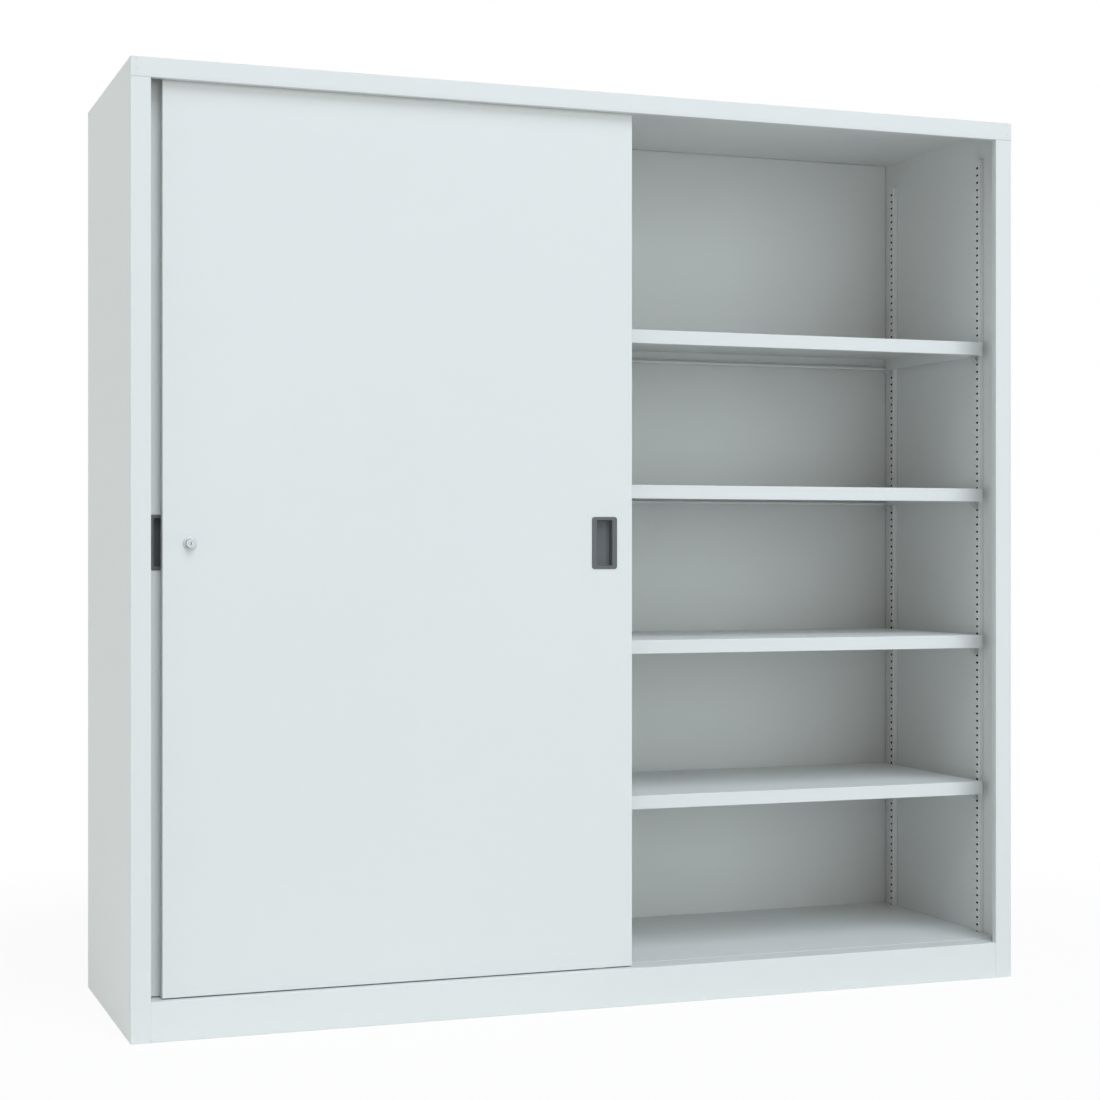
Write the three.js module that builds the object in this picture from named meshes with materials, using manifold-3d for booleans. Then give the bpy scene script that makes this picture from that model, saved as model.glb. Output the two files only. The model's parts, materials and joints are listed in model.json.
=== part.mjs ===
// A wide sheet steel cupboard with two hanging sliding doors, in millimetres, +Z up.
// The origin is on the floor under the middle of the cupboard, and the doors face -Y.
// The front door and the rear door are both slid to the left, so the right half is open.

import * as THREE from 'three';
import { mergeVertices } from 'three/addons/utils/BufferGeometryUtils.js';
import Module from 'manifold-3d';

const wasm = await Module();
wasm.setup();

// Overall size, sheet and gaps
const cabinetWidth = 2000;
const cabinetDepth = 600;
const cabinetHeight = 1950;
const sheet = 1.2;
const fitGap = 0.3;
const overrun = 5;

// Front frame: stiles, top flange and plinth
const stileWidth = 40;
const stileLip = 15;
const topFlange = 40;
const topFlangeLip = 12;
const plinthHeight = 80;
const plinthLedge = 76;
const plinthFoot = 25;

// Floor, back and partition
const floorFrontEdge = 54;
const floorFlange = 25;
const backInset = 14;
const backFlange = 14;
const partitionThickness = 30;
const partitionSetback = 78;
const supportWidth = 60;
const supportSetback = 84;

// Doors
const doorSetback = 19;
const doorThickness = 22;
const doorPlanePitch = 29;
const doorSideGap = 5.8;
const doorOverlap = 30;
const doorBottomGap = 2.5;
const doorTopDrop = 30;
const doorLip = 15;
const frontDoorStandoff = 58.5;

// Stiffener and bottom channel inside a door
const stiffenerWidth = 70;
const stiffenerCrown = 34;
const stiffenerDepth = 18;
const stiffenerEndGap = 60;
const channelHeight = 17.5;

// Recessed grip
const gripWidth = 57.5;
const gripHeight = 111.5;
const gripCorner = 5.5;
const gripProud = 1.2;
const gripSideRim = 11;
const gripEndRim = 7;
const gripPocketDepth = 15;
const gripPocketCorner = 2.5;
const gripWall = 1.5;
const gripEdgeInset = 35.2;
const gripMiddleHeight = 990;

// Top track, one rail for each door
const trackDrop = 22.5;
const railLipWidth = 13;
const railWebToCentre = 9;
const railCrownWidth = 3;
const railCrownHeight = 2.3;
const stopLength = 20;
const stopHeight = 16;
const stopHalfWidth = 4;
const stopClearance = 0.4;

// Hangers and rollers
const rollerInset = 90;
const hangerFootLength = 60;
const hangerPlateLength = 40;
const hangerThickness = 2;
const hangerFootReach = 6;
const hangerBackReach = 10;
const hangerHead = 5.5;
const axleRadius = 3;
const axleTip = 4.8;
const collarRadius = 5;
const rollerRadius = 9.3;
const rollerGroove = 7.5;
const rollerWidth = 8;
const rollerFlangeWidth = 1.1;
const rollerFlank = 0.7;

// Bottom guides
const guideLength = 24;
const guideClearance = 1.3;
const guideRise = 12;
const guideChamfer = 2;

// Lock and strike
const lockEdgeInset = 55;
const lockBelowGrip = 2;
const rosetteRadius = 14;
const rosetteThickness = 3;
const caseRadius = 11;
const caseLength = 19;
const barrelRadius = 9;
const barrelProud = 10;
const barrelReach = 17;
const barrelChamfer = 0.8;
const coreRadius = 5;
const coreLength = 11.7;
const keywayWidth = 1.4;
const keywayHeight = 6;
const keywayDepth = 4;
const strikeHeight = 30;
const strikeProud = 5;
const strikeLeg = 12;
const strikeClearance = 1;

// Shelf strips
const stripWidth = 20;
const stripDepth = 11.8;
const stripTop = 1886.5;
const frontStripSetback = 117;
const backStripInset = 39.5;
const holeLength = 10;
const holeOpening = 5;
const holePitch = 17;
const holeCount = 106;
const firstHoleHeight = 82.6;

// Shelves and their clips
const shelfCount = 4;
const holesBelowFirstShelf = 19;
const holesPerShelf = 20;
const shelfSheet = 1;
const shelfThickness = 30;
const shelfSetback = 93;
const shelfBackGap = 22;
const shelfEndGap = 5.9;
const shelfReturn = 14;
const shelfUpturn = 6;
const clipLength = 18.4;
const clipWidth = 12.4;
const clipSheet = 1.5;
const clipTabRise = 1.7;
const clipDrop = 13;
const clipToe = 3;
const clipProngWidth = 4.8;
const clipHookDrop = 7.5;

// Number of sides on the round pieces
const wheelSides = 18;
const lockSides = 24;
const cornerSteps = 3;

// Corners are rounded to this many places per millimetre, so that joined sheets meet exactly
const placesPerMillimetre = 10000;

// Places worked out from the sizes above
const frontY = -cabinetDepth / 2;
const backY = cabinetDepth / 2;
const halfWidth = cabinetWidth / 2;
const wallX = halfWidth - sheet;
const openingX = halfWidth - stileWidth;
const ceilingZ = cabinetHeight - sheet;
const flangeBottomZ = cabinetHeight - topFlange;
const underTopZ = ceilingZ - fitGap;
const floorTopZ = plinthHeight + fitGap + sheet;
const backPanelY = backY - backInset;

const doorEdgeX = wallX - doorSideGap;
const doorWidth = doorEdgeX + doorOverlap / 2;
const doorBottomZ = plinthHeight + doorBottomGap;
const doorHeight = cabinetHeight - doorTopDrop - doorBottomZ;
const frontDoorLeftX = -doorEdgeX + frontDoorStandoff;
const rearDoorLeftX = -doorEdgeX;
const frontDoorY = frontY + doorSetback;
const rearDoorY = frontDoorY + doorPlanePitch;
const doorTravel = -doorOverlap / 2 - frontDoorLeftX;

const lipBottomZ = underTopZ - trackDrop;
const lipTopZ = lipBottomZ + sheet;
const crownZ = lipTopZ + railCrownHeight;
const axleZ = crownZ + fitGap + rollerGroove;
const doorMiddle = doorThickness / 2;
const gripZ = gripMiddleHeight - doorBottomZ;
const lockZ = gripZ - lockBelowGrip;

const stripReach = fitGap + stripDepth;
const bayLeftX = partitionThickness / 2;
const shelfLength = wallX - bayLeftX - 2 * (stripReach + shelfEndGap);
const shelfDepth = backPanelY - shelfBackGap - frontY - shelfSetback;
const shelfAboveHole = clipTabRise + fitGap;
const clipProngDrop = holeOpening / 2 - fitGap;

// Finishes
function paintedSteel() {
  return new THREE.MeshStandardMaterial({
    color: 0xe3ebef,
    roughness: 0.5,
    metalness: 0,
    flatShading: true,
  });
}

function zincSteel() {
  return new THREE.MeshStandardMaterial({
    color: 0xb9bdc0,
    roughness: 0.4,
    metalness: 0.9,
    flatShading: true,
  });
}

function darkPlastic() {
  return new THREE.MeshStandardMaterial({
    color: 0x5a6064,
    roughness: 0.45,
    metalness: 0,
    flatShading: true,
  });
}

function nylon() {
  return new THREE.MeshStandardMaterial({
    color: 0xe8e8e2,
    roughness: 0.35,
    metalness: 0,
    flatShading: true,
  });
}

function blackRubber() {
  return new THREE.MeshStandardMaterial({
    color: 0x202224,
    roughness: 0.8,
    metalness: 0,
    flatShading: true,
  });
}

function nickel() {
  return new THREE.MeshStandardMaterial({
    color: 0xc9ccd0,
    roughness: 0.2,
    metalness: 1,
    flatShading: true,
  });
}

// Solids: a closed geometry becomes a solid for joining and cutting, and goes back to a geometry
function rounded(value) {
  return Math.round(value * placesPerMillimetre) / placesPerMillimetre;
}

function toSolid(geometry) {
  const bare = geometry.clone();
  bare.deleteAttribute('normal');
  bare.deleteAttribute('uv');
  const welded = mergeVertices(bare);
  const mesh = new wasm.Mesh({
    numProp: 3,
    vertProperties: welded.attributes.position.array.map(rounded),
    triVerts: new Uint32Array(welded.index.array),
  });
  return new wasm.Manifold(mesh);
}

function toGeometry(solid) {
  const mesh = solid.asOriginal().simplify().getMesh();
  const geometry = new THREE.BufferGeometry();
  geometry.setAttribute('position', new THREE.BufferAttribute(mesh.vertProperties, 3));
  geometry.setIndex(new THREE.BufferAttribute(mesh.triVerts, 1));
  geometry.computeVertexNormals();
  return geometry;
}

function join(...solids) {
  return solids.reduce((whole, piece) => whole.add(piece));
}

function cut(solid, ...tools) {
  return tools.reduce((whole, tool) => whole.subtract(tool), solid);
}

// A box between two places on each axis
function block([x0, x1], [y0, y1], [z0, z1]) {
  const geometry = new THREE.BoxGeometry(x1 - x0, y1 - y0, z1 - z0);
  geometry.translate((x0 + x1) / 2, (y0 + y1) / 2, (z0 + z1) / 2);
  return toSolid(geometry);
}

const unitX = new THREE.Vector3(1, 0, 0);
const unitY = new THREE.Vector3(0, 1, 0);
const unitZ = new THREE.Vector3(0, 0, 1);

// A sheet profile of [y, z] points, drawn out along X from x0 to x1
function profileAlongX(points, x0, x1) {
  const shape = new THREE.Shape(points.map(([y, z]) => new THREE.Vector2(y, z)));
  const geometry = new THREE.ExtrudeGeometry(shape, { depth: x1 - x0, bevelEnabled: false });
  geometry.applyMatrix4(new THREE.Matrix4().makeBasis(unitY, unitZ, unitX));
  geometry.translate(x0, 0, 0);
  return toSolid(geometry);
}

// A profile of [x, y] points, drawn out along Z from z0 to z1
function profileAlongZ(points, z0, z1) {
  const shape = new THREE.Shape(points.map(([x, y]) => new THREE.Vector2(x, y)));
  const geometry = new THREE.ExtrudeGeometry(shape, { depth: z1 - z0, bevelEnabled: false });
  geometry.translate(0, 0, z0);
  return toSolid(geometry);
}

// A flat shape in x and z, drawn out along Y from y0 to y1
function shapeAlongY(shape, y0, y1) {
  const geometry = new THREE.ExtrudeGeometry(shape, {
    depth: y1 - y0,
    bevelEnabled: false,
    curveSegments: cornerSteps,
  });
  geometry.applyMatrix4(new THREE.Matrix4().makeBasis(unitX, unitZ, unitY.clone().negate()));
  geometry.translate(0, y1, 0);
  return toSolid(geometry);
}

function roundedRectangle(width, height, radius) {
  const x = width / 2 - radius;
  const z = height / 2 - radius;
  const shape = new THREE.Shape();
  shape.moveTo(x + radius, -z);
  shape.absarc(x, z, radius, 0, Math.PI / 2);
  shape.absarc(-x, z, radius, Math.PI / 2, Math.PI);
  shape.absarc(-x, -z, radius, Math.PI, 1.5 * Math.PI);
  shape.absarc(x, -z, radius, 1.5 * Math.PI, 2 * Math.PI);
  return shape;
}

// A round piece on the Y axis, from a profile of [radius, y] points
function turned(points, sides) {
  const profile = points.map(([radius, y]) => new THREE.Vector2(radius, y));
  return toSolid(new THREE.LatheGeometry(profile, sides));
}

function rod(radius, y0, y1, sides) {
  return turned([[0, y0], [radius, y0], [radius, y1], [0, y1]], sides);
}

// A named piece of the scene
function piece(name, solid, material, position = [0, 0, 0]) {
  const mesh = new THREE.Mesh(toGeometry(solid), material);
  mesh.name = name;
  mesh.position.set(...position);
  return mesh;
}

function mirroredX(solid) {
  return solid.mirror([1, 0, 0]);
}

// Carcass: the sheets are built in the cupboard's own frame
const cabinet = new THREE.Group();
cabinet.name = 'sliding_door_cabinet';

// Side panel: one bent sheet with a front stile, its lip, and a rear flange
function sidePanel() {
  const stileTop = flangeBottomZ - fitGap;
  const rearTop = cabinetHeight - backFlange - fitGap;
  const wall = block([wallX, halfWidth], [frontY, backY], [0, stileTop]);
  const upperWall = block(
    [wallX, halfWidth],
    [frontY + sheet + fitGap, backY - sheet - fitGap],
    [0, underTopZ],
  );
  const backCorner = block([wallX, halfWidth], [0, backY], [0, rearTop]);
  const stile = block([openingX, halfWidth], [frontY, frontY + sheet], [0, stileTop]);
  const lip = block([openingX, openingX + sheet], [frontY, frontY + stileLip], [0, stileTop]);
  const rearFlange = block([halfWidth - backFlange, halfWidth], [backY - sheet, backY], [0, rearTop]);
  return join(wall, upperWall, backCorner, stile, lip, rearFlange);
}

cabinet.add(piece('right_side_panel', sidePanel(), paintedSteel()));
cabinet.add(piece('left_side_panel', mirroredX(sidePanel()), paintedSteel()));

// Top panel: a flat sheet with a deep front flange and its hem, and a rear flange
function topPanel() {
  const across = [-halfWidth, halfWidth];
  const deck = block(across, [frontY, backY], [ceilingZ, cabinetHeight]);
  const flange = block(across, [frontY, frontY + sheet], [flangeBottomZ, cabinetHeight]);
  const hem = block(
    [-openingX, openingX],
    [frontY, frontY + topFlangeLip],
    [flangeBottomZ, flangeBottomZ + sheet],
  );
  const rear = block(across, [backY - sheet, backY], [cabinetHeight - backFlange, cabinetHeight]);
  return join(deck, flange, hem, rear);
}

cabinet.add(piece('top_panel', topPanel(), paintedSteel()));

// Plinth: the front stands between the stiles, and its ledge runs behind them to the side walls
function frontPlinth() {
  const faceX = openingX - fitGap;
  const ledgeX = wallX - fitGap;
  const behindLip = frontY + stileLip + fitGap;
  const face = block([-faceX, faceX], [frontY, frontY + sheet], [0, plinthHeight]);
  const foot = block([-faceX, faceX], [frontY, frontY + plinthFoot], [0, sheet]);
  const ledge = [plinthHeight - sheet, plinthHeight];
  const frontLedge = block([-faceX, faceX], [frontY, frontY + plinthLedge], ledge);
  const wideLedge = block([-ledgeX, ledgeX], [behindLip, frontY + plinthLedge], ledge);
  return join(face, foot, frontLedge, wideLedge);
}

cabinet.add(piece('front_plinth', frontPlinth(), paintedSteel()));

// Floor: lapped over the plinth's ledge, with flanges down behind it
function floorPanel() {
  const endX = wallX - fitGap;
  const rearY = backPanelY - fitGap;
  const flangeFront = frontY + plinthLedge + fitGap;
  const down = [floorTopZ - floorFlange, floorTopZ];
  const deck = block([-endX, endX], [frontY + floorFrontEdge, rearY], [floorTopZ - sheet, floorTopZ]);
  const rightFlange = block([endX - sheet, endX], [flangeFront, rearY], down);
  const leftFlange = mirroredX(rightFlange);
  const rearFlange = block([-endX, endX], [rearY - sheet, rearY], down);
  return join(deck, rightFlange, leftFlange, rearFlange);
}

cabinet.add(piece('floor_panel', floorPanel(), paintedSteel()));

// Support: an inverted channel under the middle of the floor
function floorSupport() {
  const half = supportWidth / 2;
  const run = [frontY + supportSetback, backPanelY - backInset];
  const top = plinthHeight;
  const web = block([-half, half], run, [top - sheet, top]);
  const leg = block([half - sheet, half], run, [0, top]);
  return join(web, leg, mirroredX(leg));
}

cabinet.add(piece('floor_support', floorSupport(), zincSteel()));

// Back panels: two trays with their rims to the rear, side by side
function backPanel() {
  const x = [fitGap / 2, wallX - fitGap];
  const y = [backPanelY, backY - sheet - fitGap];
  const z = [0, underTopZ];
  const hollow = block(
    [x[0] + sheet, x[1] - sheet],
    [y[0] + sheet, y[1] + overrun],
    [z[0] + sheet, z[1] - sheet],
  );
  return cut(block(x, y, z), hollow);
}

cabinet.add(piece('right_back_panel', backPanel(), paintedSteel()));
cabinet.add(piece('left_back_panel', mirroredX(backPanel()), paintedSteel()));

// Partition: a flat box section, open at its top and bottom
function centrePartition() {
  const half = partitionThickness / 2;
  const y = [frontY + partitionSetback, backPanelY - fitGap];
  const z = [floorTopZ + fitGap, underTopZ];
  const inside = block(
    [-half + sheet, half - sheet],
    [y[0] + sheet, y[1] - sheet],
    [z[0] - overrun, z[1] + overrun],
  );
  return cut(block([-half, half], y, z), inside);
}

cabinet.add(piece('centre_partition', centrePartition(), paintedSteel()));

// Top track: a J shaped rail for each door, on one strip under the top panel
function topTrack() {
  const frontWeb = frontDoorY + doorMiddle - railWebToCentre;
  const rearWeb = frontWeb + doorPlanePitch;
  const stripBottom = underTopZ - sheet;
  const crownStart = railWebToCentre - railCrownWidth / 2;
  const crownEnd = railWebToCentre + railCrownWidth / 2;
  const railUnderWeb = (web) => [
    [web, lipBottomZ],
    [web + railLipWidth, lipBottomZ],
    [web + railLipWidth, lipTopZ],
    [web + crownEnd, lipTopZ],
    [web + crownEnd, crownZ],
    [web + crownStart, crownZ],
    [web + crownStart, lipTopZ],
    [web + sheet, lipTopZ],
    [web + sheet, stripBottom],
  ];
  const outline = [
    [frontWeb, underTopZ],
    ...railUnderWeb(frontWeb),
    [rearWeb, stripBottom],
    ...railUnderWeb(rearWeb),
    [rearWeb + railLipWidth, stripBottom],
    [rearWeb + railLipWidth, underTopZ],
  ];
  const endX = wallX - fitGap;
  return profileAlongX(outline, -endX, endX);
}

cabinet.add(piece('top_door_track', topTrack(), zincSteel()));

// End stops: rubber blocks that sit over a rail's crown and meet a roller, drawn from their left end
function trackStop() {
  const slot = railCrownWidth / 2 + fitGap;
  const foot = lipTopZ + fitGap;
  const overCrown = crownZ + fitGap;
  const outline = [
    [-stopHalfWidth, foot],
    [-slot, foot],
    [-slot, overCrown],
    [slot, overCrown],
    [slot, foot],
    [stopHalfWidth, foot],
    [stopHalfWidth, foot + stopHeight],
    [-stopHalfWidth, foot + stopHeight],
  ];
  return profileAlongX(outline, 0, stopLength);
}

const stopReach = rollerRadius + stopClearance;
const frontRailY = frontDoorY + doorMiddle;
const rearRailY = rearDoorY + doorMiddle;
const frontLeftRollerX = frontDoorLeftX + rollerInset;
const rearLeftRollerX = rearDoorLeftX + rollerInset;
const rollerSpan = doorWidth - 2 * rollerInset;
const trackStops = [
  ['front_track_left_stop', frontLeftRollerX - stopReach - stopLength, frontRailY],
  ['front_track_right_stop', frontLeftRollerX + rollerSpan + doorTravel + stopReach, frontRailY],
  ['rear_track_left_stop', rearLeftRollerX - stopReach - stopLength, rearRailY],
  ['rear_track_right_stop', rearLeftRollerX + rollerSpan + doorTravel + stopReach, rearRailY],
];
for (const [name, x, y] of trackStops) {
  cabinet.add(piece(name, trackStop(), blackRubber(), [x, y, 0]));
}

// Bottom guides: a block under the middle of the opening for each door's bottom channel
function bottomGuide(height) {
  const half = doorMiddle - sheet - fitGap - sheet - guideClearance;
  const outline = [
    [-half, 0],
    [half, 0],
    [half, height - guideChamfer],
    [half - guideChamfer, height],
    [-half + guideChamfer, height],
    [-half, height - guideChamfer],
  ];
  return profileAlongX(outline, -guideLength / 2, guideLength / 2);
}

const ledgeSeat = plinthHeight + fitGap;
const floorSeat = floorTopZ + fitGap;
const guideTop = doorBottomZ + guideRise;
cabinet.add(
  piece('front_bottom_guide', bottomGuide(guideTop - ledgeSeat), nylon(), [0, frontRailY, ledgeSeat]),
  piece('rear_bottom_guide', bottomGuide(guideTop - floorSeat), nylon(), [0, rearRailY, floorSeat]),
);

// Shelf clip: a strip of sheet folded into a loop under the shelf and hooked into a hole. Its own
// frame has the strip's face at x = 0 and the hole's middle at z = 0, with +x into the bay.
function clipLoop(rootX) {
  const tabZ = clipTabRise - clipSheet;
  const legX = rootX + clipSheet;
  const foot = new THREE.Vector2(rootX + clipToe, -clipDrop);
  const tip = new THREE.Vector2(clipLength, tabZ);
  const along = tip.clone().sub(foot);
  const slope = along.y / along.x;
  const inside = new THREE.Vector2(-along.y, along.x).setLength(clipSheet).add(foot);
  const shape = new THREE.Shape([
    new THREE.Vector2(rootX, clipTabRise),
    new THREE.Vector2(rootX, -clipDrop),
    foot,
    tip,
    new THREE.Vector2(clipLength, clipTabRise),
  ]);
  const opening = new THREE.Path([
    new THREE.Vector2(legX, tabZ),
    new THREE.Vector2(legX, inside.y + (legX - inside.x) * slope),
    new THREE.Vector2(inside.x + (tabZ - inside.y) / slope, tabZ),
  ]);
  shape.holes.push(opening);
  return shapeAlongY(shape, -clipWidth / 2, clipWidth / 2);
}

function clipBlank(rootX) {
  const hookX = -sheet - fitGap;
  const loop = clipLoop(rootX);
  const width = [-clipProngWidth / 2, clipProngWidth / 2];
  const prong = block([hookX - clipSheet, rootX + clipSheet], width, [-clipProngDrop, clipTabRise]);
  const hook = block([hookX - clipSheet, hookX], width, [-clipHookDrop, clipTabRise]);
  return { loop, prong, hook };
}

// A loose clip keeps clear of the strip's face, and its hook hangs behind the sheet
function looseClip() {
  const { loop, prong, hook } = clipBlank(fitGap);
  return join(loop, prong, hook);
}

// Shelf strip: a channel with its open side to the wall. Its own frame has the wall at x = 0, the
// front edge at y = 0, and +x into the bay.
function stripBlank() {
  const faceX = stripReach;
  const outline = [
    [fitGap, 0],
    [faceX, 0],
    [faceX, stripWidth],
    [fitGap, stripWidth],
    [fitGap, stripWidth - sheet],
    [faceX - sheet, stripWidth - sheet],
    [faceX - sheet, sheet],
    [fitGap, sheet],
  ];
  return profileAlongZ(outline, floorTopZ + fitGap, stripTop);
}

function holeHeight(index) {
  return firstHoleHeight + index * holePitch;
}

function shelfHole(index) {
  return holesBelowFirstShelf + index * holesPerShelf;
}

function perforatedStrip() {
  const x = [stripReach - sheet - overrun / 2, stripReach + overrun];
  const y = [(stripWidth - holeLength) / 2, (stripWidth + holeLength) / 2];
  const holes = [];
  for (let index = 0; index < holeCount; index += 1) {
    const middle = holeHeight(index);
    holes.push(block(x, y, [middle - holeOpening / 2, middle + holeOpening / 2]));
  }
  return cut(stripBlank(), wasm.Manifold.union(holes));
}

// The strips that the photographed side doesn't show carry their clips as one piece
function stripWithClips() {
  const clips = [];
  for (let index = 0; index < shelfCount; index += 1) {
    const { loop, prong } = clipBlank(-sheet / 2);
    const clip = join(loop, prong);
    clips.push(clip.translate([stripReach, stripWidth / 2, holeHeight(shelfHole(index))]));
  }
  return join(stripBlank(), ...clips);
}

const stripPlaces = [
  ['front', frontY + frontStripSetback],
  ['back', backPanelY - backStripInset - stripWidth],
];
const shownStrip = perforatedStrip();
const plainStrip = stripWithClips();
for (const [place, y] of stripPlaces) {
  cabinet.add(
    piece(`right_wall_${place}_strip`, mirroredX(shownStrip), paintedSteel(), [wallX, y, 0]),
    piece(`right_partition_${place}_strip`, plainStrip, paintedSteel(), [bayLeftX, y, 0]),
    piece(`left_partition_${place}_strip`, mirroredX(plainStrip), paintedSteel(), [-bayLeftX, y, 0]),
    piece(`left_wall_${place}_strip`, plainStrip, paintedSteel(), [-wallX, y, 0]),
  );
}

// Shelf: a folded tray with a returned rim at its front and back. Its own frame has the rim's
// bottom edge at z = 0 and the front left corner at the origin.
function shelf() {
  const t = shelfSheet;
  const outline = [
    [0, 0],
    [0, shelfThickness],
    [shelfDepth, shelfThickness],
    [shelfDepth, 0],
    [shelfDepth - shelfReturn, 0],
    [shelfDepth - shelfReturn, shelfUpturn],
    [shelfDepth - shelfReturn + t, shelfUpturn],
    [shelfDepth - shelfReturn + t, t],
    [shelfDepth - t, t],
    [shelfDepth - t, shelfThickness - t],
    [t, shelfThickness - t],
    [t, t],
    [shelfReturn - t, t],
    [shelfReturn - t, shelfUpturn],
    [shelfReturn, shelfUpturn],
    [shelfReturn, 0],
  ];
  const folded = profileAlongX(outline, 0, shelfLength);
  const leftRim = block([0, t], [0, shelfDepth], [0, shelfThickness]);
  const rightRim = block([shelfLength - t, shelfLength], [0, shelfDepth], [0, shelfThickness]);
  return join(folded, leftRim, rightRim);
}

const shelfSolid = shelf();
const rightShelfX = bayLeftX + stripReach + shelfEndGap;
for (let index = 0; index < shelfCount; index += 1) {
  const hole = holeHeight(shelfHole(index));
  const number = index + 1;
  const y = frontY + shelfSetback;
  const z = hole + shelfAboveHole;
  cabinet.add(
    piece(`right_shelf_${number}`, shelfSolid, paintedSteel(), [rightShelfX, y, z]),
    piece(`left_shelf_${number}`, mirroredX(shelfSolid), paintedSteel(), [-rightShelfX, y, z]),
  );
  for (const [place, stripY] of stripPlaces) {
    const clip = piece(`${place}_clip_${number}`, mirroredX(looseClip()), zincSteel());
    clip.position.set(wallX - stripReach, stripY + stripWidth / 2, hole);
    cabinet.add(clip);
  }
}

// Door panel: a tray with returned sides. Its own frame has the outer face at y = 0, the left edge
// at x = 0 and the bottom edge at z = 0.
function doorPanel(gripX, lockX) {
  const outline = [
    [0, 0],
    [doorWidth, 0],
    [doorWidth, doorThickness],
    [doorWidth - doorLip, doorThickness],
    [doorWidth - doorLip, doorThickness - sheet],
    [doorWidth - sheet, doorThickness - sheet],
    [doorWidth - sheet, sheet],
    [sheet, sheet],
    [sheet, doorThickness - sheet],
    [doorLip, doorThickness - sheet],
    [doorLip, doorThickness],
    [0, doorThickness],
  ];
  const folded = profileAlongZ(outline, 0, doorHeight);
  const topReturn = block([0, doorWidth], [0, doorThickness], [doorHeight - sheet, doorHeight]);
  const openWidth = gripWidth - 2 * gripSideRim + 2 * gripWall + 2 * fitGap;
  const openHeight = gripHeight - 2 * gripEndRim + 2 * gripWall + 2 * fitGap;
  const openShape = roundedRectangle(openWidth, openHeight, gripPocketCorner + gripWall + fitGap);
  const gripHole = shapeAlongY(openShape, -overrun, sheet + overrun);
  const tools = [gripHole.translate([gripX, 0, gripZ])];
  if (lockX !== null) {
    const lockHole = rod(caseRadius + fitGap, -overrun, sheet + overrun, lockSides);
    tools.push(lockHole.translate([lockX, 0, lockZ]));
  }
  return cut(join(folded, topReturn), ...tools);
}

// Grip: a thin rounded rim on the door's face, and a shallow tub behind it
function grip() {
  const pocketWidth = gripWidth - 2 * gripSideRim;
  const pocketHeight = gripHeight - 2 * gripEndRim;
  const rimShape = roundedRectangle(gripWidth, gripHeight, gripCorner);
  const rim = shapeAlongY(rimShape, -fitGap - gripProud, -fitGap);
  const tubShape = roundedRectangle(
    pocketWidth + 2 * gripWall,
    pocketHeight + 2 * gripWall,
    gripPocketCorner + gripWall,
  );
  const tub = shapeAlongY(tubShape, -fitGap - gripProud, gripPocketDepth + gripWall);
  const pocketShape = roundedRectangle(pocketWidth, pocketHeight, gripPocketCorner);
  const pocket = shapeAlongY(pocketShape, -overrun, gripPocketDepth);
  return cut(join(rim, tub), pocket);
}

// Stiffener: a hat shaped strip up the middle of a door, on the back of its face
function doorStiffener() {
  const back = sheet + fitGap;
  const out = stiffenerWidth / 2;
  const crown = stiffenerCrown / 2;
  const outline = [
    [-out, back],
    [-crown + sheet, back],
    [-crown + sheet, back + stiffenerDepth - sheet],
    [crown - sheet, back + stiffenerDepth - sheet],
    [crown - sheet, back],
    [out, back],
    [out, back + sheet],
    [crown, back + sheet],
    [crown, back + stiffenerDepth],
    [-crown, back + stiffenerDepth],
    [-crown, back + sheet],
    [-out, back + sheet],
  ];
  return profileAlongZ(outline, stiffenerEndGap, doorHeight - stiffenerEndGap);
}

// Bottom channel: an inverted channel inside the door's lower edge, which runs over the guide
function bottomChannel() {
  const front = sheet + fitGap;
  const back = doorThickness - sheet - fitGap;
  const outline = [
    [front, 0],
    [front + sheet, 0],
    [front + sheet, channelHeight - sheet],
    [back - sheet, channelHeight - sheet],
    [back - sheet, 0],
    [back, 0],
    [back, channelHeight],
    [front, channelHeight],
  ];
  const end = sheet + fitGap;
  return profileAlongX(outline, end, doorWidth - end);
}

// Hanger: a bent bracket on the door's top edge, with a riveted axle. Its own frame has the
// door's top edge at z = 0 and the roller's middle plane at y = 0.
const axleRise = axleZ - doorBottomZ - doorHeight;

function hanger() {
  const plate = [hangerBackReach - hangerThickness, hangerBackReach];
  const footZ = [fitGap, fitGap + hangerThickness];
  const halfFoot = hangerFootLength / 2;
  const halfPlate = hangerPlateLength / 2;
  const foot = block([-halfFoot, halfFoot], [-hangerFootReach, hangerBackReach], footZ);
  const upright = block([-halfPlate, halfPlate], plate, [fitGap, axleRise + hangerHead]);
  const collarEnd = rollerWidth / 2 + fitGap;
  const axle = rod(axleRadius, -axleTip, hangerBackReach, wheelSides);
  const collar = rod(collarRadius, collarEnd, hangerBackReach, wheelSides);
  const onAxis = join(axle, collar).translate([0, 0, axleRise]);
  return join(foot, upright, onAxis);
}

// Roller: a grooved wheel that runs on the crown of the rail
function roller() {
  const half = rollerWidth / 2;
  const flange = half - rollerFlangeWidth;
  const groove = flange - rollerFlank;
  const bore = axleRadius + fitGap;
  const profile = [
    [bore, -half],
    [rollerRadius, -half],
    [rollerRadius, -flange],
    [rollerGroove, -groove],
    [rollerGroove, groove],
    [rollerRadius, flange],
    [rollerRadius, half],
    [bore, half],
    [bore, -half],
  ];
  return turned(profile, wheelSides);
}

// Lock: the case is fixed in the front door, the barrel slides in it and holds the key core
function lockCase() {
  const bore = barrelRadius + fitGap;
  const front = -fitGap - rosetteThickness;
  const profile = [
    [bore, front],
    [rosetteRadius, front],
    [rosetteRadius, -fitGap],
    [caseRadius, -fitGap],
    [caseRadius, caseLength],
    [bore, caseLength],
    [bore, front],
  ];
  return turned(profile, lockSides);
}

const barrelFront = -fitGap - rosetteThickness - barrelProud;

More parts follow.
